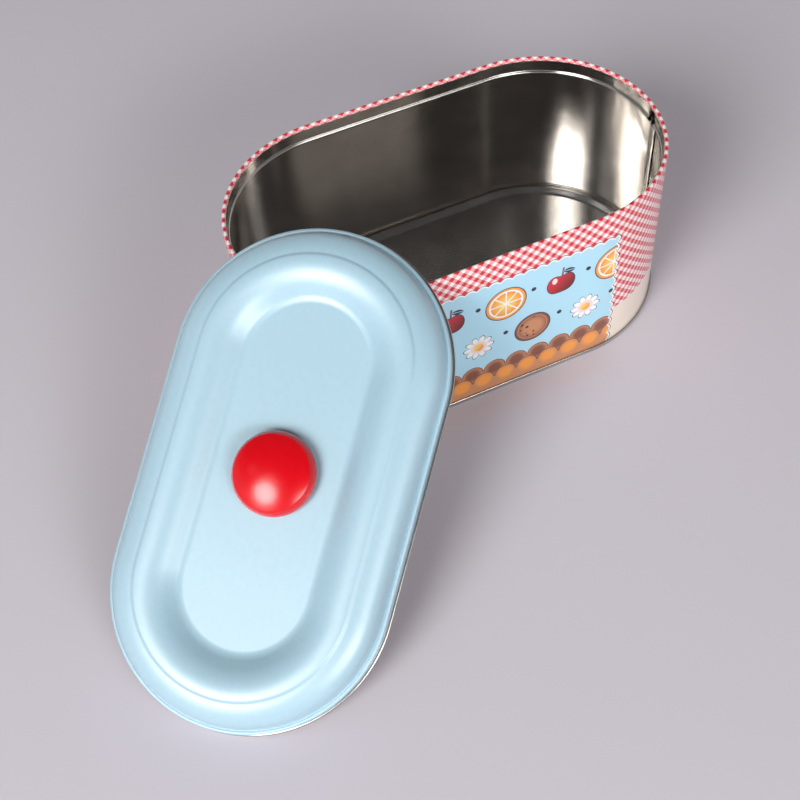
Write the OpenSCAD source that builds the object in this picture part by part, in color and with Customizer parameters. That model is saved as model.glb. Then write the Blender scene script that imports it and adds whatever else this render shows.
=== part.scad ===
// Oval metal lunch box with a loose slip-over lid.
// The side wall is one sheet, hemmed inwards at the rim, closed by a lock seam at one end and
// double-seamed to the base. The lid is one pressing with a curled skirt; its knob is screwed on.
// The lid is drawn where it lies off the box: one end on the table, leaning on the rim.

/* [Box] */
// Length of the box, end to end
box_length = 220; // [180:1:280]
// Width of the box, side to side
box_width = 122; // [100:1:150]
// Height of the box, table to rim
box_height = 96; // [60:1:150]
// Thickness of the tinplate
sheet = 0.3; // [0.25:0.01:0.33]

/* [Rim and seams] */
// Width of the rolled rim, outside to inside
rim_width = 2; // [1.6:0.1:3]
// Depth of the inward hem, rim to the bottom of its bead
hem_depth = 10; // [7:0.5:14]
// Radius of the bead that closes the hem
bead_radius = 0.9; // [0.6:0.1:1.1]
// Height of the double seam round the base
seam_height = 3; // [2.8:0.1:3.6]
// Air between the layers of a seam
seam_gap = 0.03; // [0.02:0.01:0.05]
// Width of the lock seam up one end
lock_width = 5; // [4:0.5:7]
// Turn of the lock seam from the middle of the end
lock_turn = -6; // [-30:1:30]

/* [Base] */
// Height of the rounded ring inside the base, over the table
ring_height = 5.6; // [5:0.1:7]
// Height of the floor's upper face over the table
floor_height = 3.3; // [2.4:0.1:4]
// Slope from the ring down to the floor
ring_slope = 40; // [30:1:50]

/* [Lid] */
// Air between the lid's skirt and the wall of the box, when closed
lid_play = 0.5; // [0.3:0.1:1]
// Depth of the skirt, from the lid's edge bead to the middle of the curl
skirt_depth = 6.4; // [5:0.1:9]
// Radius of the outside curl on the skirt's edge
curl_radius = 0.7; // [0.6:0.05:1]
// Radius of the bead round the top edge
edge_radius = 1; // [0.8:0.1:1.4]
// Height of the dome's steep foot, inside the edge bead
foot_height = 3; // [2:0.1:4]
// Radius of the dome's shoulder, over its foot
shoulder_radius = 9; // [8:0.5:10]
// Radius of the dome's crown, from the shoulder to the step
dome_radius = 17.4; // [15:0.2:20]
// Straight part of the step round the dome
step_height = 0.3; // [0.1:0.1:1]
// Radius of the ridge at the top of the lid
ridge_radius = 17; // [14:0.5:18]
// Slope of the cove down to the panel
cove_slope = 34; // [28:1:36]
// Height of the sunken panel over the lid's edge
panel_height = 5; // [3:0.1:6]

/* [Knob] */
// Diameter of the knob
knob_diameter = 37; // [30:1:44]
// Height of the knob
knob_height = 12; // [11:0.5:16]
// Diameter of the screw
screw_diameter = 4; // [3:0.5:5]
// Diameter of the washer
washer_diameter = 12; // [10:0.5:16]

/* [Where the lid lies] */
// Turn of the lid about the upright axis
lid_yaw = 47; // [0:1:90]
// Lift of the lid's far end
lid_pitch = 28; // [20:0.5:35]
// Roll of the lid about its long axis
lid_roll = 2.8; // [0:0.1:5]
// Middle of the lid to the side of the box's middle
lid_aside = -128.75; // [-140:0.25:-128.75]
// Middle of the lid in front of the box's middle
lid_front = -100.25; // [-120:0.25:-100.25]

/* [Hidden] */

$fn = 96;
bend_step = 20;                         // most degrees of bend to one flat of a section
bend_error = 0.03;                      // most distance from a flat to its bend
half_straight = (box_length - box_width) / 2;
pitch = sheet + seam_gap;               // from layer to layer of a seam
wall_x = box_width / 2 - sheet / 2;     // middle of the wall's sheet

// double seam: both hooks bend round one centre line
bend_z = 2 * pitch + sheet / 2;
seam_top_z = seam_height - pitch - sheet / 2;
hook = 1.3;
hook_end = 0.05;

// rim and hem
rim_bend = (rim_width - sheet) / 2;
hem_bend = 0.8;
hem_flare = 60;
bead_turn = 200;
bead_drop = (hem_bend + bead_radius) * sin(hem_flare) + bead_radius + sheet / 2;

// lock seam and the notch over it
lock_rise = 2 * sheet;
lock_foot = seam_height + 4;
lock_head = box_height - hem_depth - 0.6;
notch_width = 0.8 * lock_width;
notch_foot = box_height - hem_depth - 0.3;
notch_reach = rim_width + bead_radius + 1;

// base
crown_bend = 0.9;
floor_bend = 2.5;

// lid
lid_wall_x = box_width / 2 + lid_play + sheet / 2;
curl_bend = curl_radius - sheet / 2;
curl_turn = 290;
edge_bend = edge_radius - sheet / 2;
edge_turn = 130;
valley_bend = 0.5;
foot_slope = 76;
shoulder_slope = 32;                    // where the shoulder meets the crown
dome_end = 8;
step_bend = 1.2;
step_slope = 50;
cove_bend = 7;

// knob and its fixing
knob_foot = 9.5;
neck_height = 0.8;
neck_flare = 2;
head_slope = 10;
head_edge = 1.3;
head_side = 1.2;
shoulder_bend = 3;
shoulder_turn = 40;
crease_bend = 0.8;
crease_turn = 25;
dome_steps = 10;
hole_play = 0.2;
thread_play = 0.05;
washer_thickness = 0.8;
head_diameter = 2 * screw_diameter;
head_height = 0.6 * screw_diameter;
thread_depth = 8;
driver_slot = 0.9;
air = 0.02;

// the lid's resting height puts its curl on the table
table_air = 0.1;
tilt_u = sin(lid_pitch);
tilt_v = cos(lid_pitch) * sin(lid_roll);
tilt_n = cos(lid_pitch) * cos(lid_roll);
curl_x = lid_wall_x + curl_bend;
lid_z = table_air + half_straight * tilt_u + curl_x * norm([tilt_u, tilt_v])
      + skirt_depth * tilt_n + curl_radius;

function dir(a) = [cos(a), sin(a)];
function last(p) = p[len(p) - 1];

// A folded section, walked like a pen: [length, 0] runs straight, [radius, turn] bends.
function walk(p, heading, moves, i = 0) =
    i == len(moves) ? [p] :
    moves[i][1] == 0 ?
        concat([p], walk(p + moves[i][0] * dir(heading), heading, moves, i + 1)) :
    let (
        turn = moves[i][1],
        arm = moves[i][0] * sign(turn),
        centre = p + arm * dir(heading + 90),
        steps = max(2, ceil(abs(turn) / min(bend_step, 2 * acos(1 - bend_error / moves[i][0]))))
    )
    concat(
        [for (k = [0 : steps - 1]) centre - arm * dir(heading + turn * k / steps + 90)],
        walk(centre - arm * dir(heading + turn + 90), heading + turn, moves, i + 1)
    );

// The point at i of a section, moved to its left by d along the mitre of its neighbours.
function mitre(p, i, d) =
    let (
        ahead = min(i + 1, len(p) - 1),
        behind = max(i, 1),
        a = p[ahead] - p[ahead - 1],
        b = p[behind] - p[behind - 1],
        na = [-a[1], a[0]] / norm(a),
        nb = [-b[1], b[0]] / norm(b),
        n = (na + nb) / norm(na + nb)
    )
    p[i] + n * d / (n * na);

// A section given its thickness.
function thick(p, t = sheet) = concat(
    [for (i = [0 : len(p) - 1]) mitre(p, i, t / 2)],
    [for (i = [len(p) - 1 : -1 : 0]) mitre(p, i, -t / 2)]
);

// Carries a section round the oval: x is the distance from the long axis, y the height.
module around_oval() {
    for (end = [0, 180])
        rotate(end) {
            translate([half_straight, 0, 0])
                rotate(-90)
                    rotate_extrude(angle = 180)
                        children();
            translate([half_straight, 0, 0])
                rotate([90, 0, -90])
                    linear_extrude(2 * half_straight)
                        children();
        }
}

// ---- box ----

function wall_section() = walk(
    [wall_x + 2 * pitch, bend_z + hook], -90,
    [
        [hook, 0],                                              // body hook
        [pitch, -180],                                          // bend under the end hook
        [box_height - sheet / 2 - rim_bend - bend_z, 0],        // the wall
        [rim_bend, 180],                                        // rolled rim
        [hem_depth - bead_drop - sheet / 2 - rim_bend, 0],      // hem
        [hem_bend, -hem_flare],
        [bead_radius, bead_turn]                                // bead
    ]);

// Position on the lock seam: turned about the centre of the right end.
module at_lock() {
    translate([half_straight, 0, 0])
        rotate(lock_turn)
            children();
}

module body_wall() {
    inner_x = wall_x - sheet / 2;
    lock_angle = lock_width / inner_x * 180 / PI;
    color([0.93, 0.72, 0.72])
        difference() {
            union() {
                around_oval()
                    polygon(thick(wall_section()));
                // the folded-over layers of the lock seam, inside the wall
                at_lock()
                    rotate(-lock_angle / 2)
                        rotate_extrude(angle = lock_angle)
                            translate([inner_x - lock_rise, lock_foot])
                                square([lock_rise + sheet / 2, lock_head - lock_foot]);
            }
            // the hem is notched where the lock seam would crowd it
            at_lock()
                translate([inner_x - notch_reach, -notch_width / 2, notch_foot])
                    cube([notch_reach - 0.1, notch_width, hem_depth - rim_width]);
        }
}

function pan_section() =
    let (
        edge = walk(
            [wall_x + pitch, seam_top_z - hook + hook_end], 90,
            [
                [hook - hook_end, 0],                           // end hook
                [pitch, -180],                                  // over the body hook
                [seam_top_z - bend_z, 0],                       // outer wall of the seam
                [2 * pitch, -180],                              // foot of the seam
                [ring_height - sheet / 2 - crown_bend - bend_z, 0],
                [crown_bend, 90 + ring_slope]                   // crown of the ring
            ]),
        drop = last(edge)[1] - (floor_height - sheet / 2) - floor_bend * (1 - cos(ring_slope)),
        slope = walk(last(edge), 180 + ring_slope, [[drop / sin(ring_slope), 0], [floor_bend, -ring_slope]])
    )
    concat([for (i = [0 : len(edge) - 2]) edge[i]], slope, [[0, last(slope)[1]]]);

module base_pan() {
    color([0.72, 0.71, 0.69])
        around_oval()
            polygon(thick(pan_section()));
}

// ---- lid, in its own frame: z = 0 on the top of its edge bead ----

function lid_section() =
    let (
        rise = walk(
            [curl_x, -skirt_depth] + curl_bend * dir(180 + curl_turn), 90 + curl_turn,
            [
                [curl_bend, -curl_turn],                        // outside curl
                [skirt_depth - edge_radius, 0],                 // skirt
                [edge_bend, edge_turn],                         // edge bead
                [valley_bend, 90 - edge_turn - foot_slope],     // valley inside the bead
                [foot_height / sin(foot_slope), 0],             // foot of the dome
                [shoulder_radius, foot_slope - shoulder_slope],
                [dome_radius, shoulder_slope - dome_end],       // crown
                [step_bend, dome_end - step_slope],             // step
                [step_height, 0],
                [step_bend, step_slope - dome_end],
                [ridge_radius, dome_end + cove_slope]           // ridge
            ]),
        drop = last(rise)[1] - (panel_height - sheet / 2) - cove_bend * (1 - cos(cove_slope)),
        cove = walk(last(rise), 180 + cove_slope, [[drop / sin(cove_slope), 0], [cove_bend, -cove_slope]])
    )
    concat([for (i = [0 : len(rise) - 2]) rise[i]], cove, [[0, last(cove)[1]]]);

// Puts the lid and what is on it where the lid lies.
module leaning() {
    translate([lid_aside, lid_front, lid_z])
        rotate([lid_roll, -lid_pitch, lid_yaw])
            children();
}

module lid_panel() {
    color([0.68, 0.84, 0.92])
        leaning()
            difference() {
                around_oval()
                    polygon(thick(lid_section()));
                translate([0, 0, panel_height - 1])
                    cylinder(d = screw_diameter + 2 * hole_play, h = 2);
            }
}

// ---- knob, in its own frame: z = 0 on its foot ----

function knob_section() =
    let (
        overhang = knob_diameter / 2 - knob_foot - (neck_flare + head_edge) * (1 - sin(head_slope)),
        head = walk(
            [knob_foot, 0], 90,
            [
                [neck_height, 0],
                [neck_flare, head_slope - 90],                  // hollow under the head
                [overhang / cos(head_slope), 0],
                [head_edge, 90 - head_slope],                   // rounded edge
                [head_side, 0],
                [shoulder_bend, shoulder_turn],
                [crease_bend, -crease_turn]                     // crease round the dome
            ]),
        rim = last(head),
        rise = knob_height - rim[1],
        crown = (rim[0] * rim[0] + rise * rise) / (2 * rise),
        spread = asin(rim[0] / crown)
    )
    concat(
        [[0, 0]],
        head,
        [for (k = [1 : dome_steps])
            [0, knob_height - crown] + crown * dir(90 - spread * (1 - k / dome_steps))]
    );

module at_knob() {
    leaning()
        translate([0, 0, panel_height])
            children();
}

module knob() {
    color([0.80, 0.02, 0.06])
        at_knob()
            translate([0, 0, air])
                difference() {
                    rotate_extrude()
                        polygon(knob_section());
                    translate([0, 0, -1])
                        cylinder(d = screw_diameter + 2 * thread_play, h = thread_depth + 1);
                }
}

module knob_washer() {
    color([0.76, 0.76, 0.74])
        at_knob()
            translate([0, 0, -sheet - washer_thickness - air])
                difference() {
                    cylinder(d = washer_diameter, h = washer_thickness);
                    translate([0, 0, -1])
                        cylinder(d = screw_diameter + 2 * hole_play, h = washer_thickness + 2);
                }
}

module knob_screw() {
    seat = -sheet - washer_thickness - 2 * air;
    color([0.70, 0.70, 0.68])
        at_knob()
            difference() {
                union() {
                    translate([0, 0, seat])
                        cylinder(d = screw_diameter, h = thread_depth - 0.5 - seat);
                    translate([0, 0, seat - head_height])
                        cylinder(d1 = 0.8 * head_diameter, d2 = head_diameter, h = 0.4 * head_height);
                    translate([0, 0, seat - 0.6 * head_height])
                        cylinder(d = head_diameter, h = 0.6 * head_height);
                }
                for (turn = [0, 90])
                    rotate(turn)
                        translate([-0.25 * head_diameter, -driver_slot / 2, seat - head_height - 1])
                            cube([0.5 * head_diameter, driver_slot, 0.6 * head_height + 1]);
            }
}

body_wall();
base_pan();
lid_panel();
knob();
knob_washer();
knob_screw();
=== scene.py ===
"""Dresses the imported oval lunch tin: printed wall, bare base, lacquered lid, red knob, floor and light.

Lengths are in metres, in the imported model's frame: +X along the tin, +Y to the back, +Z up.
"""

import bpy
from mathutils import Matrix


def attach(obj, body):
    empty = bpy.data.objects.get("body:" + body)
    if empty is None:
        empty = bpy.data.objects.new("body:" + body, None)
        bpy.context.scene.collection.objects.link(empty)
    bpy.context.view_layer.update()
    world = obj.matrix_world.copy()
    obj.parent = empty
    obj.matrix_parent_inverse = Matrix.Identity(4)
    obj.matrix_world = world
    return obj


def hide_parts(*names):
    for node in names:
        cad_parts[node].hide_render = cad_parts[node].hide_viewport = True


bl_info = {
    "name": "Oval Lunch Tin",
    "version": (1, 0, 0),
    "blender": (4, 5, 0),
    "location": "View3D > Sidebar > Lunch Tin",
    "description": "Builds the surfaces, finishes, floor and light of an oval lunch tin",
    "category": "Add Mesh",
}

import bmesh
import bpy
import numpy as np
from bpy.props import FloatProperty, FloatVectorProperty, PointerProperty
from mathutils import Euler, Vector

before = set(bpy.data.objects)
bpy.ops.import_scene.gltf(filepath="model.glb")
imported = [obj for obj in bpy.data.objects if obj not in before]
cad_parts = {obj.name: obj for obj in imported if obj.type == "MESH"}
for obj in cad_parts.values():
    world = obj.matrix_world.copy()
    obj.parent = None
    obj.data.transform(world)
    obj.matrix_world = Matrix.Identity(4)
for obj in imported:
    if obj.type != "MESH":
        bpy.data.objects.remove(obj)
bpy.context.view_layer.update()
MM = 0.001
TURN = 2 * np.pi
NEAR = 0.01 * MM  # a point this close to a face lies on it
FINE = np.radians(4)  # longest step round a bend of the lid and the knob
SEAM_HOOK = 1.3 * MM  # straight part of each hook of the double seam
# Reach of the hem's notch, the lock seam and its flanks from the seam's middle, in widths of the seam
NOTCH_HALF, LOCK_HALF, FLANK_HALF = 0.4, 0.5, 0.7


# ---------------------------------------------------------------- sizes and colours


def number(name, description, value):
    """A plain number."""
    return FloatProperty(name=name, description=description, default=value)


def length(name, description, millimetres):
    """A length given in millimetres and kept in metres."""
    return FloatProperty(
        name=name, description=description, default=millimetres * MM, unit="LENGTH", precision=5
    )


def angle(name, description, degrees):
    """An angle given in degrees and kept in radians."""
    return FloatProperty(name=name, description=description, default=np.radians(degrees), unit="ROTATION")


def colour(name, description, rgb):
    """A linear colour."""
    return FloatVectorProperty(
        name=name, description=description, default=rgb, size=3, min=0, max=1, subtype="COLOR"
    )


class TinSizes(bpy.types.PropertyGroup):
    """Driving sizes of the tin: the solid model's, but for a rounder dome and a steeper cove."""

    box_length: length("Length", "Box, end to end", 220)
    box_width: length("Width", "Box, side to side", 122)
    box_height: length("Height", "Box, table to rim", 96)
    sheet: length("Sheet", "Thickness of the tinplate", 0.3)
    rim_width: length("Rim width", "Rolled rim, outside to inside", 2)
    hem_depth: length("Hem depth", "Inward hem, rim to the bottom of its bead", 10)
    bead_radius: length("Bead radius", "Middle radius of the hem's bead", 0.9)
    seam_height: length("Seam height", "Double seam round the base", 3)
    seam_gap: length("Seam gap", "Air between the layers of a seam", 0.03)
    lock_width: length("Lock seam width", "Lock seam up the right end", 5)
    lock_turn: angle("Lock seam turn", "Lock seam from the middle of the end", -6)
    ring_height: length("Ring height", "Rounded ring inside the base, over the table", 5.6)
    floor_height: length("Floor height", "Upper face of the base's floor, over the table", 3.3)
    ring_slope: angle("Ring slope", "Slope from the ring down to the floor", 40)
    lid_play: length("Lid play", "Air between skirt and wall when closed", 0.5)
    skirt_depth: length("Skirt depth", "Edge bead to the middle of the curl", 6.4)
    curl_radius: length("Curl radius", "Outside curl on the skirt's edge", 0.7)
    edge_radius: length("Edge bead radius", "Bead round the lid's top edge", 1)
    foot_height: length("Dome foot", "Steep foot of the dome, inside the edge bead", 3)
    shoulder_radius: length("Shoulder radius", "Dome's shoulder, over its foot", 9)
    dome_radius: length("Dome radius", "Dome's crown, from the shoulder to the step", 16.1)
    step_height: length("Step height", "Straight part of the step round the dome", 0.3)
    ridge_radius: length("Ridge radius", "Ridge at the top of the lid", 17)
    cove_slope: angle("Cove slope", "Slope of the cove down to the panel", 37)
    panel_height: length("Panel height", "Sunken panel over the lid's edge", 5)
    knob_diameter: length("Knob diameter", "Across the knob's head", 37)
    knob_height: length("Knob height", "Panel to the top of the knob", 12)
    lid_yaw: angle("Lid turn", "Turn of the lid about the upright axis", 47)
    lid_pitch: angle("Lid lift", "Lift of the lid's far end", 28)
    lid_roll: angle("Lid roll", "Roll of the lid about its long axis", 2.8)
    lid_aside: length("Lid aside", "Middle of the lid, along the box", -128.75)
    lid_front: length("Lid in front", "Middle of the lid, across the box", -100.25)


class TinColours(bpy.types.PropertyGroup):
    """Colours of the print, the lacquers and the bare metal, linear."""

    white: colour("Print white", "White ground of the print", (0.90, 0.87, 0.85))
    pink: colour("Check pink", "Single thread of the gingham", (0.84, 0.33, 0.345))
    red: colour("Check red", "Crossed threads of the gingham", (0.58, 0.015, 0.027))
    cream: colour("Cream", "Band under the gingham at the ends", (0.84, 0.73, 0.62))
    sky: colour("Sky", "Ground of the printed panels", (0.42, 0.70, 0.84))
    navy: colour("Navy", "Outlines and dots", (0.010, 0.020, 0.042))
    orange: colour("Orange", "Fruit and biscuit", (0.86, 0.32, 0.05))
    yellow: colour("Yellow", "Fruit", (0.90, 0.60, 0.12))
    brown: colour("Brown", "Crust and cocoa", (0.22, 0.070, 0.040))
    tan: colour("Tan", "Baked edge", (0.56, 0.24, 0.11))
    enamel: colour("Lid blue", "Lacquer of the lid", (0.36, 0.545, 0.64))
    knob: colour("Knob red", "Knob", (0.66, 0.001, 0.007))
    tin: colour("Tinplate", "Bare tinplate", (0.62, 0.59, 0.555))
    zinc: colour("Zinc", "Screw and washer", (0.62, 0.61, 0.58))
    floor: colour("Floor", "Table top", (0.62, 0.58, 0.63))


class TinStage(bpy.types.PropertyGroup):
    """Camera and lamps."""

    lens: number("Lens", "Focal length on a 36 mm sensor", 56.08)
    shift_x: number("Shift X", "Sideways shift of the frame", -0.0502)
    shift_y: number("Shift Y", "Upright shift of the frame", 0.0110)
    camera_place: FloatVectorProperty(
        name="Camera",
        description="Place of the camera",
        default=(-0.173996, -0.397744, 0.508052),
        unit="LENGTH",
    )
    camera_turn: FloatVectorProperty(
        name="Camera turn",
        description="Euler turn of the camera",
        default=np.radians((35.64, 1.97, -24.98)).tolist(),
        subtype="EULER",
    )
    key_towards: FloatVectorProperty(
        name="Key lamp", description="From the tin to the key lamp", default=(-0.695, -0.451, 0.559)
    )
    fill_towards: FloatVectorProperty(
        name="Fill lamp", description="From the tin to the fill lamp", default=(0.060, -0.885, 0.460)
    )
    lamp_distance: length("Lamp distance", "Tin to the lamps", 2600)
    key_size: length("Key size", "Across the round key lamp", 1200)
    veil_size: length("Veil size", "Height of the veil round the key lamp", 2250)
    fill_size: length("Fill size", "Width of the fill lamp", 650)
    key_power: number("Key power", "Watts of the key lamp", 10.4)
    veil_power: number("Veil power", "Watts of the veil round the key lamp", 3.85)
    fill_power: number("Fill power", "Watts of the fill lamp", 1.56)
    soft_power: number("Soft fill power", "Watts of the veil round the fill lamp", 6.5)
    low_level: number("Room, low", "Strength of the room light near the floor", 0.6)
    high_level: number("Room, high", "Strength of the room light overhead", 0.08)


# ---------------------------------------------------------------- folded sections


def walk(start, heading, moves, fineness=np.radians(6)):
    """A folded section, walked like a pen from start along heading.

    A move is (length, 0), a straight run, or (radius, turn), a bend. On a bend the pen stands at
    centre - arm * (cos, sin)(heading + quarter turn), where arm is the radius with the turn's sign.
    """
    runs = [np.atleast_2d(np.array(start, float))]
    for size, turn in moves:
        here = runs[-1][-1]
        if turn == 0:
            runs.append(here[None] + size * np.array([[np.cos(heading), np.sin(heading)]]))
            continue
        arm = size * np.sign(turn)
        side = heading + TURN / 4
        centre = here + arm * np.array([np.cos(side), np.sin(side)])
        steps = max(3, int(np.ceil(abs(turn) / fineness)))
        turned = side + turn * np.arange(1, steps + 1) / steps
        runs.append(centre - arm * np.stack([np.cos(turned), np.sin(turned)], 1))
        heading += turn
    return np.concatenate(runs)


def refined(path, longest):
    """The same section with every straight run cut into equal parts no longer than `longest`."""
    steps = np.maximum(1, np.ceil(np.hypot(*np.diff(path, axis=0).T) / longest)).astype(int)
    at = np.concatenate([np.arange(n) / n + i for i, n in enumerate(steps)] + [[len(path) - 1.0]])
    index = np.arange(len(path))
    return np.stack([np.interp(at, index, path[:, 0]), np.interp(at, index, path[:, 1])], 1)


def thick(path, sheet):
    """Both faces of a sheet whose middle is path: (left face, right face), each as long as path.

    A point moves along the mitre of its two neighbouring runs, by half the sheet over the cosine of
    half the bend.
    """
    run = np.diff(path, axis=0)
    run /= np.linalg.norm(run, axis=1)[:, None]
    side = np.stack([-run[:, 1], run[:, 0]], 1)
    before, after = np.vstack([side[:1], side]), np.vstack([side, side[-1:]])
    mitre = before + after
    mitre /= (mitre * after).sum(1)[:, None]
    return path + mitre * sheet / 2, path - mitre * sheet / 2


def path_length(points):
    """Distance travelled along points, from 0."""
    return np.concatenate([[0.0], np.cumsum(np.hypot(*np.diff(points, axis=0).T))])


# ---------------------------------------------------------------- the oval


def oval_stations(sizes, per_end=96, per_side=12, close=0.05 * MM, seamed=False):
    """Stations round the oval from the lock seam and back to it: (centre x, angle, distance along the wall).

    The distance is measured on the wall's outside and is 0 in the middle of the front. Where seamed, pairs
    of stations `close` either side stand at the edges of the notch and of the lock seam, where sections
    jump, and on the flanks.
    """
    straight, radius = (sizes.box_length - sizes.box_width) / 2, sizes.box_width / 2
    lock, quarter = sizes.lock_turn, TURN / 4
    edges = np.array([NOTCH_HALF, LOCK_HALF, FLANK_HALF]) * sizes.lock_width / radius
    pairs = np.sort(np.concatenate([edges - close / radius, edges + close / radius]))
    jumps = pairs if seamed else np.empty(0)
    back = np.concatenate([[lock], lock + jumps, np.linspace(lock, quarter, per_end // 2)[2:]])
    far = np.linspace(quarter, 3 * quarter, per_end)
    front = np.linspace(3 * quarter, TURN + lock, per_end // 2)[:-2]
    front = np.concatenate([front, TURN + lock - jumps[::-1], [TURN + lock]])
    side = np.linspace(straight, -straight, per_side)[1:-1]
    runs = ((straight, back), (side, quarter), (-straight, far), (-side, 3 * quarter), (straight, front))
    centre, turned = map(np.concatenate, zip(*(np.broadcast_arrays(*run) for run in runs)))
    travelled = radius * (turned - lock) + np.concatenate([[0.0], np.cumsum(np.abs(np.diff(centre)))])
    middle_of_front = radius * (3 * quarter - lock) + 3 * straight
    return centre, turned, travelled - middle_of_front


def swept(section, stations):
    """A section carried round the oval.

    section is (points, 2), or (stations, points, 2) where it changes on the way. A point of it at (d, height)
    goes to (centre x + d cos angle, d sin angle, height) at each station.
    """
    centre, turned, _ = stations
    section = np.broadcast_to(section, (len(centre), *section.shape[-2:]))
    away, height = section[..., 0], section[..., 1]
    return np.stack(
        [centre[:, None] + away * np.cos(turned)[:, None], away * np.sin(turned)[:, None], height], -1
    )


def skin(name, points, along, across, closed_across, body, node):
    """A mesh from a grid of points that closes on itself along its first axis.

    points is (stations, section, 3). along and across are the UV map's two coordinates in metres, one for
    each station and one for each section point. Faces are turned outwards by the sign of the enclosed
    volume, the sum of a . (b x c) / 6 over the triangles.
    """
    count, width = points.shape[:2]
    i = np.arange(count - 1)[:, None]
    j = np.arange(width if closed_across else width - 1)[None]
    here, ahead = i * width, ((i + 1) % (count - 1)) * width
    over = (j + 1) % width
    quads = np.stack([here + j, ahead + j, ahead + over, here + over], -1).reshape(-1, 4)
    across = np.append(across, across[-1] + np.linalg.norm(points[0, 0] - points[0, -1]))
    i, j = np.broadcast_arrays(i, j)
    u = np.stack([along[i], along[i + 1], along[i + 1], along[i]], -1).reshape(-1, 4)
    v = np.stack([across[j], across[j], across[j + 1], across[j + 1]], -1).reshape(-1, 4)
    flat = points[:-1].reshape(-1, 3)
    corners = flat[quads]
    volume = sum(
        np.einsum("ij,ij->", corners[:, 0], np.cross(corners[:, a], corners[:, a + 1])) for a in (1, 2)
    )
    if volume < 0:
        quads, u, v = quads[:, ::-1], u[:, ::-1], v[:, ::-1]
    mesh = bpy.data.meshes.new(name)
    mesh.from_pydata(flat.tolist(), [], quads.tolist())
    uv = mesh.uv_layers.new(name="UVMap")
    uv.data.foreach_set("uv", np.stack([u, v], -1).astype(np.float32).ravel())
    loose = bmesh.new()
    loose.from_mesh(mesh)
    bmesh.ops.remove_doubles(loose, verts=loose.verts, dist=0.002 * MM)
    loose.to_mesh(mesh)
    loose.free()
    mesh.shade_smooth()
    mesh.set_sharp_from_angle(angle=np.radians(35))
    piece = bpy.data.objects.new(name, mesh)
    bpy.context.scene.collection.objects.link(piece)
    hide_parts(node)
    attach(piece, body)
    return piece


# ---------------------------------------------------------------- sections of the tin


def seam_layer(sizes):
    """Distance from layer to layer of the double seam, and the height of its lower bend's centre."""
    pitch = sizes.sheet + sizes.seam_gap
    return pitch, 2 * pitch + sizes.sheet / 2


def wall_section(sizes):
    """Body hook, wall, rolled rim and hem with its bead."""
    pitch, bend_z = seam_layer(sizes)
    middle = (sizes.box_width - sizes.sheet) / 2
    rim_bend = (sizes.rim_width - sizes.sheet) / 2
    hem_bend, flare, bead_turn = 0.8 * MM, np.radians(60), np.radians(200)
    bead = sizes.bead_radius
    drop = (hem_bend + bead) * np.sin(flare) + bead + sizes.sheet / 2
    hem = sizes.hem_depth - drop - sizes.sheet / 2 - rim_bend
    return walk(
        (middle + 2 * pitch, bend_z + SEAM_HOOK),
        -TURN / 4,
        [
            (SEAM_HOOK, 0),
            (pitch, -TURN / 2),
            (sizes.box_height - sizes.sheet / 2 - rim_bend - bend_z, 0),
            (rim_bend, TURN / 2),
            (hem, 0),
            (hem_bend, -flare),
            (bead, bead_turn),
        ],
    )


def pan_section(sizes):
    """End hook, outer wall and foot of the double seam, countersink ring, slope and floor."""
    pitch, bend_z = seam_layer(sizes)
    middle = (sizes.box_width - sizes.sheet) / 2
    top_z = sizes.seam_height - pitch - sizes.sheet / 2
    hook_end, crown, floor_bend = 0.05 * MM, 0.9 * MM, 2.5 * MM
    slope = sizes.ring_slope
    rise = sizes.ring_height - sizes.sheet / 2 - crown - bend_z
    edge = walk(
        (middle + pitch, top_z - SEAM_HOOK + hook_end),
        TURN / 4,
        [
            (SEAM_HOOK - hook_end, 0),
            (pitch, -TURN / 2),
            (top_z - bend_z, 0),
            (2 * pitch, -TURN / 2),
            (rise, 0),
            (crown, TURN / 4 + slope),
        ],
    )
    floor = sizes.floor_height - sizes.sheet / 2
    drop = edge[-1, 1] - floor - floor_bend * (1 - np.cos(slope))
    down = walk(edge[-1], TURN / 2 + slope, [(drop / np.sin(slope), 0), (floor_bend, -slope)])
    return np.vstack([edge, down[1:], [(0, floor)]])


def lid_section(sizes):
    """Curl, skirt, edge bead, valley, dome, step, ridge, cove and sunken panel, from the curl inwards.

    The step's bends are softer and its face is less steep than the solid model's.
    """
    curl, bead = sizes.curl_radius - sizes.sheet / 2, sizes.edge_radius - sizes.sheet / 2
    skirt = sizes.box_width / 2 + sizes.lid_play + sizes.sheet / 2
    curl_turn, bead_turn, foot, shoulder, end, face = np.radians((290, 130, 76, 32, 8, 36))
    valley, step, cove_bend = 0.5 * MM, 2.2 * MM, 7 * MM
    slope = sizes.cove_slope
    start = TURN / 2 + curl_turn
    rise = walk(
        np.array([skirt + curl, -sizes.skirt_depth]) + curl * np.array([np.cos(start), np.sin(start)]),
        TURN / 4 + curl_turn,
        [
            (curl, -curl_turn),
            (sizes.skirt_depth - sizes.edge_radius, 0),
            (bead, bead_turn),
            (valley, TURN / 4 - bead_turn - foot),
            (sizes.foot_height / np.sin(foot), 0),
            (sizes.shoulder_radius, foot - shoulder),
            (sizes.dome_radius, shoulder - end),
            (step, end - face),
            (sizes.step_height, 0),
            (step, face - end),
            (sizes.ridge_radius, end + slope),
        ],
        FINE,
    )
    panel = sizes.panel_height - sizes.sheet / 2
    drop = rise[-1, 1] - panel - cove_bend * (1 - np.cos(slope))
    cove = walk(rise[-1], TURN / 2 + slope, [(drop / np.sin(slope), 0), (cove_bend, -slope)], FINE)
    return np.vstack([rise, cove[1:], [(0, panel)]])


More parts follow.
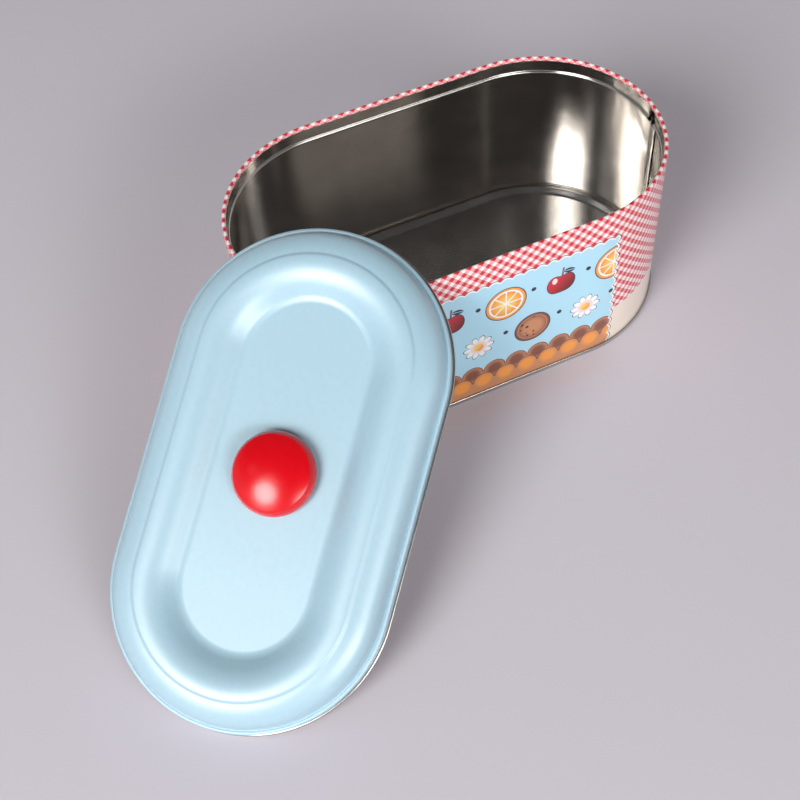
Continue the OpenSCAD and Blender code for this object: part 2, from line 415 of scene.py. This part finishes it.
def knob_section(sizes):
    """Foot, neck, hollow under the head, rounded edge, leaning side, turned edge and dome, axis to axis.

    The dome is the arc through the crease and the top: its radius is (r * r + rise * rise) / (2 * rise).
    Foot, top and diameter are the solid knob's, and the profile between them is this one's own.
    """
    foot, neck, flare, edge, bulge, crease = MM * np.array((9.5, 0.5, 1.3, 1.6, 9.9, 0.7))
    slope, lean, bulge_turn, crease_turn = np.radians((5, 12, 25, 24))
    dome_steps = 40
    overhang = sizes.knob_diameter / 2 - foot - (flare + edge) * (1 - np.sin(slope))
    head = walk(
        (foot, 0),
        TURN / 4,
        [
            (neck, 0),
            (flare, slope - TURN / 4),
            (overhang / np.cos(slope), 0),
            (edge, TURN / 4 - slope + lean),
            (bulge, bulge_turn),
            (crease, crease_turn),
        ],
        FINE,
    )
    rim = head[-1]
    rise = sizes.knob_height - rim[1]
    crown = (rim[0] ** 2 + rise**2) / (2 * rise)
    spread = np.arcsin(rim[0] / crown) * (1 - np.arange(1, dome_steps + 1) / dome_steps)
    dome = np.stack([crown * np.sin(spread), sizes.knob_height - crown + crown * np.cos(spread)], 1)
    return np.vstack([[(0, 0)], head, dome])


def lid_place(sizes):
    """Turn and place of the lid, its curl just off the table.

    With the turn's last row as (along, across, upright), the curl's lowest point is below the lid's middle
    by straight * along + reach * hypot(along, across) + skirt depth * upright + curl radius.
    """
    turn = np.array(Euler((sizes.lid_roll, -sizes.lid_pitch, sizes.lid_yaw)).to_matrix())
    straight = (sizes.box_length - sizes.box_width) / 2
    reach = sizes.box_width / 2 + sizes.lid_play + sizes.curl_radius
    along, across, upright = turn[2]
    lift = straight * along + reach * np.hypot(along, across) + sizes.skirt_depth * upright
    table_air = 0.1 * MM
    height = table_air + (lift + sizes.curl_radius)
    return turn, np.array([sizes.lid_aside, sizes.lid_front, height])


# ---------------------------------------------------------------- shader maths


class Shade:
    """One value or colour that varies over a surface: an output socket with Python's operators."""

    def __init__(self, finish, socket):
        self.finish, self.socket = finish, socket

    def maths(self, operation, *values):
        return self.finish.node("ShaderNodeMath", {"operation": operation}, dict(enumerate(values)))

    def __add__(self, other):
        return self.maths("ADD", self, other)

    def __radd__(self, other):
        return self.maths("ADD", other, self)

    def __sub__(self, other):
        return self.maths("SUBTRACT", self, other)

    def __rsub__(self, other):
        return self.maths("SUBTRACT", other, self)

    def __mul__(self, other):
        return self.maths("MULTIPLY", self, other)

    def __rmul__(self, other):
        return self.maths("MULTIPLY", other, self)

    def __truediv__(self, other):
        return self.maths("DIVIDE", self, other)

    def __pow__(self, other):
        return self.maths("POWER", self, other)

    def __lt__(self, other):
        return self.maths("LESS_THAN", self, other)

    def __gt__(self, other):
        return self.maths("GREATER_THAN", self, other)

    def __and__(self, other):
        return self.maths("MULTIPLY", self, other)

    def __or__(self, other):
        return self.maths("MAXIMUM", self, other)

    def __invert__(self):
        return self.maths("SUBTRACT", 1.0, self)

    def __abs__(self):
        return self.maths("ABSOLUTE", self)

    def cosine(self):
        return self.maths("COSINE", self)

    def wrapped(self, period):
        """The value folded into -period/2 .. period/2."""
        return self.maths("WRAP", self, period / 2, -period / 2)


class Finish:
    """The nodes of a material, or of the world's light, under construction."""

    def __init__(self, owner):
        owner.use_nodes = True
        self.owner, self.tree = owner, owner.node_tree
        self.tree.nodes.clear()

    @classmethod
    def named(cls, name):
        """A new material of that name."""
        return cls(bpy.data.materials.new(name))

    def node(self, kind, settings=None, sockets=None, output=0):
        """Adds a node of that type, with its settings first and then its sockets' values or links."""
        made = self.tree.nodes.new(kind)
        for name, value in (settings or {}).items():
            setattr(made, name, value)
        for name, value in (sockets or {}).items():
            if isinstance(value, Shade):
                self.tree.links.new(value.socket, made.inputs[name])
            elif made.inputs[name].type == "RGBA":
                made.inputs[name].default_value = (*tuple(value)[:3], 1)
            else:
                made.inputs[name].default_value = value
        return Shade(self, made.outputs[output]) if made.outputs else None

    def mix(self, share, below, above):
        """The colour `above` laid over `below` by share."""
        return self.node("ShaderNodeMix", {"data_type": "RGBA"}, {0: share, 6: below, 7: above}, 2)

    def blend(self, share, below, above):
        """The number `above` laid over `below` by share."""
        return self.node("ShaderNodeMix", {"data_type": "FLOAT"}, {0: share, 2: below, 3: above}, 0)

    def eased(self, value, low, high):
        """0 below low, 1 above high, smooth between."""
        return self.node(
            "ShaderNodeMapRange", {"interpolation_type": "SMOOTHSTEP"}, {0: value, 1: low, 2: high}
        )

    def surface(self):
        """The UV map in millimetres: (along the wall, across the section)."""
        uv = self.node("ShaderNodeUVMap", {"uv_map": "UVMap"})
        grown = self.node("ShaderNodeVectorMath", {"operation": "SCALE"}, {0: uv, "Scale": 1 / MM})
        parts = self.node("ShaderNodeSeparateXYZ", None, {0: grown}).socket.node.outputs
        return Shade(self, parts[0]), Shade(self, parts[1])

    def noise(self, vector, scale, detail, roughness=0.5):
        """Soft random patches, about 1 / scale across."""
        sockets = {"Vector": vector, "Scale": scale, "Detail": detail, "Roughness": roughness}
        return self.node("ShaderNodeTexNoise", None, sockets)

    def place(self, x, y):
        """A point of the flat print."""
        return self.node("ShaderNodeCombineXYZ", None, {0: x, 1: y, 2: 0.0})

    def done(self, **sockets):
        """Closes the material with a Principled surface whose sockets are given by name, _ for a space."""
        named = {name.replace("_", " "): value for name, value in sockets.items()}
        principled = self.node("ShaderNodeBsdfPrincipled", None, named)
        self.node("ShaderNodeOutputMaterial", None, {"Surface": principled})
        return self.owner

    def bump(self, height, strength, distance):
        """The surface's direction, disturbed by a height."""
        sockets = {"Height": height, "Strength": strength, "Distance": distance}
        return self.node("ShaderNodeBump", None, sockets)


# ---------------------------------------------------------------- finishes


def shaded(colour, share):
    """The colour at that share of its brightness."""
    return [share * channel for channel in colour]


def bare_metal(finish, along, across, colours):
    """Rolled tinplate: fine lines along the sheet, a soft cloudy wear and a raised grain.

    Returns its colour, roughness and height.
    """
    lines = finish.noise(finish.place(along * 0.02, across * 4.0), 1.0, 4.0)
    cloud = finish.noise(finish.place(along * 0.05, across * 0.05), 1.0, 4.0, 0.6)
    tone = finish.mix(finish.eased(cloud, 0.3, 0.7), shaded(colours.tin, 0.86), colours.tin)
    grain = finish.noise(finish.place(along * 1.6, across * 2.6), 1.0, 2.0)
    roughness = 0.095 + 0.055 * cloud + 0.05 * lines
    return tone, roughness, lines + 3.0 * finish.eased(grain, 0.6, 0.75)


def ring(away, radius, width):
    """A ring of that middle radius, from the distance to its centre."""
    return abs(away - radius) < width / 2


def distance(x, y, x0=0.0, y0=0.0, stretch=1.0):
    """Distance of a point from x0, y0, with the upright direction stretched."""
    dx, dy = x - x0, (y - y0) * stretch
    return (dx * dx + dy * dy) ** 0.5


def bearing(x, y):
    """Angle of a point seen from 0, 0."""
    return y.maths("ARCTAN2", y, x)


def gingham(finish, along, height, pitch, colours):
    """Bias gingham: two sets of stripes at 45 degrees, red where both lie, pink where one does.

    A red check stands at along = height = 0, and every pitch along the wall.
    """
    slant = np.sqrt(0.5)
    stripe = pitch * np.sqrt(0.125)
    rising = abs(((along + height) * slant).wrapped(2 * stripe)) < stripe / 2
    falling = abs(((along - height) * slant).wrapped(2 * stripe)) < stripe / 2
    either = finish.mix(rising | falling, colours.white, colours.pink)
    return finish.mix(rising & falling, either, colours.red)


def orange_slice(finish, x, y, below, colours):
    """Eight segments parted by white skin, inside white pith, peel and an outline."""
    away = distance(x, y)
    skin_line = abs(bearing(x, y).wrapped(TURN / 8)) * away < 0.35
    flesh = finish.mix(finish.eased(away, 2.0, 8.0), colours.yellow, colours.orange)
    flesh = finish.mix(skin_line | (away < 1.0), flesh, colours.white)
    inside = finish.mix(away > 8.0, flesh, colours.white)
    inside = finish.mix(away > 9.0, inside, colours.orange)
    inside = finish.mix(away > 10.3, inside, colours.navy)
    return finish.mix(away < 10.8, below, inside)


def apple(finish, x, y, below, colours):
    """A fruit whose edge lies 7.6 mm out, less a deep dimple at the stalk and a small one below."""
    away = distance(x, y)
    up = y / away
    reach = 7.6 - 2.6 * (up | 0.0) ** 7.0 - 1.1 * (-1.0 * up | 0.0) ** 6.0
    stalk = (abs(x - 0.1 * y) < 0.5) & (abs(y - 7.0) < 3.4)
    leaf = (distance(x, y, 3.6, 4.4) < 4.4) & (distance(x, y, 4.6, 10.0) < 4.4)
    vein = abs(y - 7.2 + 0.18 * (x - 4.1)) < 0.2
    body = finish.mix(finish.eased(x - y, -8.0, 10.0), colours.red, shaded(colours.red, 0.3))
    body = finish.mix(0.8 * (distance(x, y, -3.4, 2.6, 0.7) < 1.4), body, colours.white)
    body = finish.mix(away > reach - 0.5, body, colours.navy)
    below = finish.mix(stalk, below, colours.brown)
    below = finish.mix(leaf, below, finish.mix(vein, colours.navy, colours.sky))
    return finish.mix(away < reach, below, body)


def cocoa_biscuit(finish, x, y, below, colours):
    """A round biscuit with dark spots, a paler ring near its edge and an outline."""
    away = distance(x, y)
    cells = {"Vector": finish.place(x, y), "Scale": 0.28, "Randomness": 0.6}
    spots = finish.node("ShaderNodeTexVoronoi", {"feature": "F1"}, cells)
    face = finish.mix(finish.eased(away, 4.0, 9.0), colours.tan, colours.brown)
    face = finish.mix((spots < 0.28) & (away < 7.6), face, shaded(colours.brown, 0.3))
    face = finish.mix(ring(away, 7.9, 0.5), face, colours.tan)
    face = finish.mix(away > 9.3, face, colours.navy)
    return finish.mix(away < 9.8, below, face)


def daisy(finish, x, y, below, colours):
    """Ten petals round an eye: their edge lies 3.4 mm out, plus 4.9 |cos 5 bearing| ** 0.45."""
    away = distance(x, y)
    reach = 3.4 + 4.9 * abs((bearing(x, y) * 5.0).cosine()) ** 0.45
    petals = finish.mix(0.35 * (away < 4.2), colours.white, colours.pink)
    petals = finish.mix(away > reach - 0.45, petals, colours.navy)
    flower = finish.mix(away < reach, below, petals)
    eye = finish.mix(finish.eased(x - y, -2.0, 3.0), colours.yellow, colours.orange)
    return finish.mix(away < 2.6, flower, eye)


def scallops(finish, along, height, below, top, pitch, fill, colours):
    """A baked border: half circles side by side, each with an outline and a paler crown."""
    x = along.wrapped(pitch)
    away = distance(x, height, 0.0, top - pitch / 2)
    under = (away < pitch / 2) | (height < top - pitch / 2)
    outline = ring(away, pitch / 2 - 0.3, 0.6) & (height > top - pitch / 2)
    baked = finish.mix(finish.eased(away, pitch * 0.2, pitch * 0.5), fill, colours.tan)
    return finish.mix(under, below, finish.mix(outline, baked, colours.brown))


def printed_wall(colours, sizes, foot):
    """Gingham round the top and the ends, a cream foot at the ends, and on each long side a sky panel
    with rows of fruit, biscuits and daisies over a baked scalloped border. Bare tin past the rim."""
    finish = Finish.named("printed_tinplate")
    along, across = finish.surface()
    straight, radius = (sizes.box_length - sizes.box_width) / 2 / MM, sizes.box_width / 2 / MM
    half_round = 2 * straight + np.pi * radius
    height = across - foot / MM
    crest = (sizes.box_height + (np.pi / 4 - 0.5) * sizes.rim_width) / MM
    side = along.wrapped(half_round)

    # the print's layout, in millimetres over the table and along the wall
    cream_top, print_end = 27.0, crest + 2.3
    half_panel, panel_top, navy_edge, white_edge = straight + 9.0, 78.5, 1.45, 1.0
    checks_to_a_side, frill_depth, frill_pitch = 48, 1.6, 6.0
    column, upper_row, lower_row = 29.0, 63.0, 38.5
    upper_foot, lower_head, lower_foot = 51.0, 50.0, 27.0
    high_dots, low_dots, dot = 66.0, 42.0, 1.3
    scallop, back_scallops, front_scallops = 12.0, 24.0, 17.0
    # half width of the painted shade along each fold of the lock seam
    fold_shade_half_width = 0.5

    def frilled(away, beside):
        """Distance towards an edge that is cut in round frills, beside being the place along it."""
        return away - frill_depth * abs((beside * np.pi / frill_pitch).cosine())

    checks = gingham(finish, side, height - crest, half_round / checks_to_a_side, colours)
    printed = finish.mix(height < cream_top, checks, colours.cream)
    aside, up = frilled(abs(side), height), frilled(height, side)
    in_panel = (aside < half_panel) & (up < panel_top)
    for reach, tint in ((navy_edge, colours.navy), (white_edge, colours.white)):
        edged = (aside < half_panel + reach) & (up < panel_top + reach)
        printed = finish.mix(edged, printed, tint)

    upper, lower = side.wrapped(column), (side - column / 2).wrapped(column)
    upper_even = abs(side.wrapped(2 * column)) < column / 2
    lower_even = abs((side - column / 2).wrapped(2 * column)) < column / 2
    panel = finish.mix(distance(upper, height, 0, low_dots) < dot, colours.sky, colours.navy)
    panel = finish.mix(distance(lower, height, 0, high_dots) < dot, panel, colours.navy)
    y_upper, y_lower = height - upper_row, height - lower_row
    first = orange_slice(finish, upper, y_upper, panel, colours)
    second = apple(finish, upper, y_upper, panel, colours)
    panel = finish.mix(height > upper_foot, panel, finish.mix(upper_even, second, first))
    third = cocoa_biscuit(finish, lower, y_lower, panel, colours)
    fourth = daisy(finish, lower, y_lower, panel, colours)
    in_lower = (height > lower_foot) & (height < lower_head)
    panel = finish.mix(in_lower, panel, finish.mix(lower_even, fourth, third))
    for place, top, fill in (
        (side - scallop / 2, back_scallops, colours.brown),
        (side, front_scallops, colours.orange),
    ):
        panel = scallops(finish, place, height, panel, top, scallop, fill, colours)
    printed = finish.mix(in_panel, printed, panel)

    bare = height > print_end
    metal, metal_rough, lines = bare_metal(finish, along, across, colours)
    from_front = radius * (3 * TURN / 4 - sizes.lock_turn) + 3 * straight
    past_lock = (along + from_front).wrapped(2 * half_round)
    # painted shade: near-black lines along both folds of the lock seam stand in for the shadow in their
    # grooves
    painted_fold_shade = abs(abs(past_lock) - sizes.lock_width / 2 / MM) < fold_shade_half_width
    metal = finish.mix(painted_fold_shade, metal, shaded(colours.tin, 0.06))
    mottle = finish.noise(finish.place(along, across), 0.6, 2.0)
    return finish.done(
        Base_Color=finish.mix(bare, printed, metal),
        Metallic=bare,
        Roughness=finish.blend(bare, 0.26 + 0.06 * mottle, metal_rough),
        Coat_Weight=0.35 * ~bare,
        Coat_Roughness=0.12,
        Normal=finish.bump(finish.blend(bare, mottle * 0.2, lines), 0.12, 0.05 * MM),
    )


def bare_tin(colours):
    """Bare tinplate all over."""
    finish = Finish.named("bare_tinplate")
    along, across = finish.surface()
    metal, roughness, lines = bare_metal(finish, along, across, colours)
    return finish.done(
        Base_Color=metal, Metallic=1.0, Roughness=roughness, Normal=finish.bump(lines, 0.12, 0.05 * MM)
    )


def lacquered_lid(colours, edge):
    """Pale blue lacquer on the lid's top, bare tin on its inside, which the outward curl turns to view."""
    finish = Finish.named("blue_enamel")
    along, across = finish.surface()
    metal, metal_rough, _ = bare_metal(finish, along, across, colours)
    bare = across < edge / MM
    flow = finish.noise(finish.place(along, across), 0.35, 2.0)
    tone = finish.mix(finish.eased(flow, 0.3, 0.7), shaded(colours.enamel, 0.97), colours.enamel)
    return finish.done(
        Base_Color=finish.mix(bare, tone, metal),
        Metallic=bare,
        Roughness=finish.blend(bare, 0.29 + 0.05 * flow, metal_rough),
        Coat_Weight=1.0 * ~bare,
        Coat_Roughness=0.45,
        Coat_IOR=1.75,
        Normal=finish.bump(flow, 0.06, 0.1 * MM),
    )


def glossy_knob(colours):
    """Red lacquer under a clear coat, faintly mottled."""
    finish = Finish.named("red_gloss")
    place = finish.node("ShaderNodeTexCoord", None, None, 3)
    flow = finish.noise(place, 260.0, 2.0)
    tone = finish.mix(finish.eased(flow, 0.35, 0.7), shaded(colours.knob, 0.94), colours.knob)
    return finish.done(
        Base_Color=tone,
        Roughness=0.24 + 0.05 * flow,
        Specular_IOR_Level=0.05,
        Coat_Weight=1.0,
        Coat_Roughness=0.2,
        Normal=finish.bump(flow, 0.05, 0.1 * MM),
    )


def zinc_plate(colours):
    """Grey plated steel with a fine grain."""
    finish = Finish.named("zinc_plate")
    place = finish.node("ShaderNodeTexCoord", None, None, 3)
    grain = finish.noise(place, 900.0, 4.0)
    return finish.done(
        Base_Color=finish.mix(grain, shaded(colours.zinc, 0.8), colours.zinc),
        Metallic=1.0,
        Roughness=0.3 + 0.15 * grain,
        Normal=finish.bump(grain, 0.15, 0.05 * MM),
    )


# ---------------------------------------------------------------- operators


class AddWall(bpy.types.Operator):
    """Sweeps the wall's folded sheet round the oval, with its lock seam and the notch over it."""

    bl_idname = "lunch_tin.add_wall"
    bl_label = "Add wall"

    def execute(self, context):
        sizes, colours = context.scene.tin_sizes, context.scene.tin_colours
        stations = oval_stations(sizes, seamed=True)
        _, turned, along = stations
        radius, sheet, lock = sizes.box_width / 2, sizes.sheet, sizes.lock_width
        off_lock = np.abs((turned - sizes.lock_turn + np.pi) % TURN - np.pi) * radius

        inner, outer = thick(refined(wall_section(sizes), 2 * MM), sheet)
        whole = np.vstack([outer, inner[::-1]])
        notched = off_lock < NOTCH_HALF * lock
        section = np.where(notched[:, None, None], self.hem_drawn_up(whole, sizes), whole)

        # the lock seam's band stands two sheets proud of the inside in its middle, and less at its folds
        band_foot = sizes.seam_height + 4 * MM
        band_head = sizes.box_height - sizes.hem_depth - 1 * MM
        x, z = whole.T
        banded = (np.abs(x - (radius - sheet)) < NEAR) & (z > band_foot) & (z < band_head)
        layers, crown = 2, 0.7
        crowned = layers - crown * (off_lock / (LOCK_HALF * lock)) ** 2
        raised = np.where(off_lock < LOCK_HALF * lock, crowned * sheet, 0)
        section[..., 0] -= raised[:, None] * banded[None]

        across = path_length(whole)
        foot_point = int(np.argmax((np.abs(x - radius) < NEAR) & (z > sizes.seam_height)))
        foot = float(across[foot_point] - z[foot_point])
        points = swept(section, stations)
        piece = skin("wall", points, along, across, True, "box", "body_wall")
        piece.data.materials.append(printed_wall(colours, sizes, foot))
        return {"FINISHED"}

    @staticmethod
    def hem_drawn_up(whole, sizes):
        """The section with its hem drawn up under the rim: hem points keep their place across the sheet."""
        left_over, clear_of_wall = 0.02, 1.2 * sizes.sheet
        half = sizes.sheet / 2
        x, z = whole.T
        top = sizes.box_height - sizes.rim_width
        hem = (x < sizes.box_width / 2 - clear_of_wall) & (z > sizes.box_height / 2) & (z < top)
        middle = sizes.box_width / 2 - sizes.rim_width + half
        drawn = whole.copy()
        drawn[hem, 0] = middle + np.clip(x[hem] - middle, -half, half)
        drawn[hem, 1] = top - (top - z[hem]) * left_over
        return drawn


class AddBase(bpy.types.Operator):
    """Sweeps the base pan's pressed sheet round the oval and closes it along the middle."""

    bl_idname = "lunch_tin.add_base"
    bl_label = "Add base"

    def execute(self, context):
        sizes = context.scene.tin_sizes
        stations = oval_stations(sizes)
        outer, inner = thick(pan_section(sizes), sizes.sheet)
        loop = np.vstack([inner[::-1], outer])
        along, across, points = stations[2], path_length(loop), swept(loop, stations)
        piece = skin("base", points, along, across, False, "box", "base_pan")
        piece.data.materials.append(bare_tin(context.scene.tin_colours))
        return {"FINISHED"}


class AddLid(bpy.types.Operator):
    """Sweeps the lid's pressed sheet round the oval and lays it on the rim."""

    bl_idname = "lunch_tin.add_lid"
    bl_label = "Add lid"

    def execute(self, context):
        sizes = context.scene.tin_sizes
        stations = oval_stations(sizes, per_end=112)
        left, right = thick(lid_section(sizes), sizes.sheet)
        loop = np.vstack([left[::-1], right])
        across = path_length(loop)
        edge = float(across[len(left)]) - sizes.sheet / 2
        turn, place = lid_place(sizes)
        points = swept(loop, stations) @ turn.T + place
        piece = skin("lid", points, stations[2], across, False, "lid", "lid_panel")
        piece.data.materials.append(lacquered_lid(context.scene.tin_colours, edge))
        return {"FINISHED"}


class AddKnob(bpy.types.Operator):
    """Turns the knob's section about its axis: point = (r cos angle, r sin angle, height)."""

    bl_idname = "lunch_tin.add_knob"
    bl_label = "Add knob"

    def execute(self, context):
        sizes = context.scene.tin_sizes
        steps, air = 120, 0.02 * MM
        section = knob_section(sizes)
        turned = np.linspace(0, TURN, steps + 1)
        turn, place = lid_place(sizes)
        points = swept(section + [0, sizes.panel_height + air], (np.zeros_like(turned), turned, turned))
        points = points @ turn.T + place
        along, across = turned * sizes.knob_diameter / 2, path_length(section)
        piece = skin("knob_head", points, along, across, False, "lid", "knob")
        piece.data.materials.append(glossy_knob(context.scene.tin_colours))
        return {"FINISHED"}


class FinishFixings(bpy.types.Operator):
    """Gives the screw and the washer their zinc plate."""

    bl_idname = "lunch_tin.finish_fixings"
    bl_label = "Finish fixings"

    def execute(self, context):
        zinc = zinc_plate(context.scene.tin_colours)
        for name in ("knob_screw", "knob_washer"):
            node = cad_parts[name]
            for spot in node.material_slots:
                spot.material = zinc
        return {"FINISHED"}


class AddStage(bpy.types.Operator):
    """Lays the floor, sets the lamps and the room light, and places the camera.

    The room is pale low down, all round the floor, and darker overhead but for three small windows.
    """

    bl_idname = "lunch_tin.add_stage"
    bl_label = "Add stage"

    def execute(self, context):
        scene, stage = context.scene, context.scene.tin_stage
        scene.view_settings.view_transform = "Standard"
        self.lay_floor(scene)
        self.set_lamps(scene, stage)
        self.light_room(scene, stage)
        self.place_camera(scene, stage)
        return {"FINISHED"}

    @staticmethod
    def lay_floor(scene):
        """A square floor in the plane z = 0."""
        reach = 4.0
        mesh = bpy.data.meshes.new("floor")
        corners = [(-reach, -reach, 0), (reach, -reach, 0), (reach, reach, 0), (-reach, reach, 0)]
        mesh.from_pydata(corners, [], [(0, 1, 2, 3)])
        floor = bpy.data.objects.new("floor", mesh)
        scene.collection.objects.link(floor)
        finish = Finish.named("floor")
        tint = scene.tin_colours.floor
        mesh.materials.append(finish.done(Base_Color=tint, Roughness=0.8, Specular_IOR_Level=0.0))

    @staticmethod
    def set_lamps(scene, stage):
        """Two lamps, each with a wider and softer veil just behind it. All four face the tin."""
        key, veil, fill, behind = stage.key_size, stage.veil_size, stage.fill_size, 0.02
        key_way, fill_way = Vector(stage.key_towards), Vector(stage.fill_towards)
        for name, towards, extra, width, height, power in (
            ("key", key_way, 0.0, key, key, stage.key_power),
            ("veil", key_way, behind, 0.7 * veil, veil, stage.veil_power),
            ("fill", fill_way, 0.0, fill, 0.5 * fill, stage.fill_power),
            ("soft_fill", fill_way, behind, 2.6 * fill, 1.4 * fill, stage.soft_power),
        ):
            lamp = bpy.data.lights.new(name, "AREA")
            lamp.shape, lamp.size, lamp.size_y, lamp.energy = "ELLIPSE", width, height, power
            lamp.spread = TURN / 4
            holder = bpy.data.objects.new(name, lamp)
            towards = towards.normalized()
            holder.location = towards * (stage.lamp_distance + extra)
            holder.rotation_euler = towards.to_track_quat("Z", "Y").to_euler()
            scene.collection.objects.link(holder)

    @staticmethod
    def light_room(scene, stage):
        """Room light by the upright share of the direction, plus round windows with soft edges."""
        world = scene.world or bpy.data.worlds.new("room")
        scene.world = world
        room = Finish(world)
        direction = room.node("ShaderNodeTexCoord")
        upright = room.node("ShaderNodeSeparateXYZ", None, {0: direction}, 2)
        strength = room.blend(room.eased(upright, 0.30, 0.62), stage.low_level, stage.high_level)
        edge_out, edge_in = 1.4, 0.6  # where a window's edge starts and ends, in half widths
        windows = ((71, 45, 10, 0.6), (-9, 45, 5, 0.45), (172, 45, 6, 0.5))
        for *degrees, level in windows:
            turned, risen, half = np.radians(degrees)
            towards = (np.cos(risen) * np.cos(turned), np.cos(risen) * np.sin(turned), np.sin(risen))
            both = {0: direction, 1: towards}
            near = room.node("ShaderNodeVectorMath", {"operation": "DOT_PRODUCT"}, both, 1)
            window = room.eased(near, np.cos(edge_out * half), np.cos(edge_in * half))
            strength = strength + level * window
        lit = {"Color": (0.97, 0.97, 1.0), "Strength": strength}
        light = room.node("ShaderNodeBackground", None, lit)
        room.node("ShaderNodeOutputWorld", None, {"Surface": light})

    @staticmethod
    def place_camera(scene, stage):
        """The camera, with its lens and the shift of its frame."""
        lens = bpy.data.cameras.new("camera")
        lens.lens, lens.sensor_width = stage.lens, 36
        lens.shift_x, lens.shift_y = stage.shift_x, stage.shift_y
        lens.clip_start, lens.clip_end = 0.01, 20
        camera = bpy.data.objects.new("camera", lens)
        camera.location = stage.camera_place
        camera.rotation_euler = Euler(stage.camera_turn)
        scene.collection.objects.link(camera)
        scene.camera = camera


STEPS = (AddWall, AddBase, AddLid, AddKnob, FinishFixings, AddStage)


class TinPanel(bpy.types.Panel):
    """Lists the steps and the tin's sizes and colours."""

    bl_idname = "VIEW3D_PT_lunch_tin"
    bl_label = "Lunch Tin"
    bl_space_type = "VIEW_3D"
    bl_region_type = "UI"
    bl_category = "Lunch Tin"

    def draw(self, context):
        for step in STEPS:
            self.layout.operator(step.bl_idname)
        for group in (context.scene.tin_sizes, context.scene.tin_colours, context.scene.tin_stage):
            column = self.layout.column(align=True)
            for name in group.__annotations__:
                column.prop(group, name)


CLASSES = (TinSizes, TinColours, TinStage, *STEPS, TinPanel)


def register():
    for made in CLASSES:
        bpy.utils.register_class(made)
    bpy.types.Scene.tin_sizes = PointerProperty(type=TinSizes)
    bpy.types.Scene.tin_colours = PointerProperty(type=TinColours)
    bpy.types.Scene.tin_stage = PointerProperty(type=TinStage)


def unregister():
    del bpy.types.Scene.tin_stage
    del bpy.types.Scene.tin_colours
    del bpy.types.Scene.tin_sizes
    for made in reversed(CLASSES):
        bpy.utils.unregister_class(made)


def main():
    register()
    for step in STEPS:
        group, name = step.bl_idname.split(".")
        getattr(getattr(bpy.ops, group), name)()


if __name__ == "__main__":
    main()
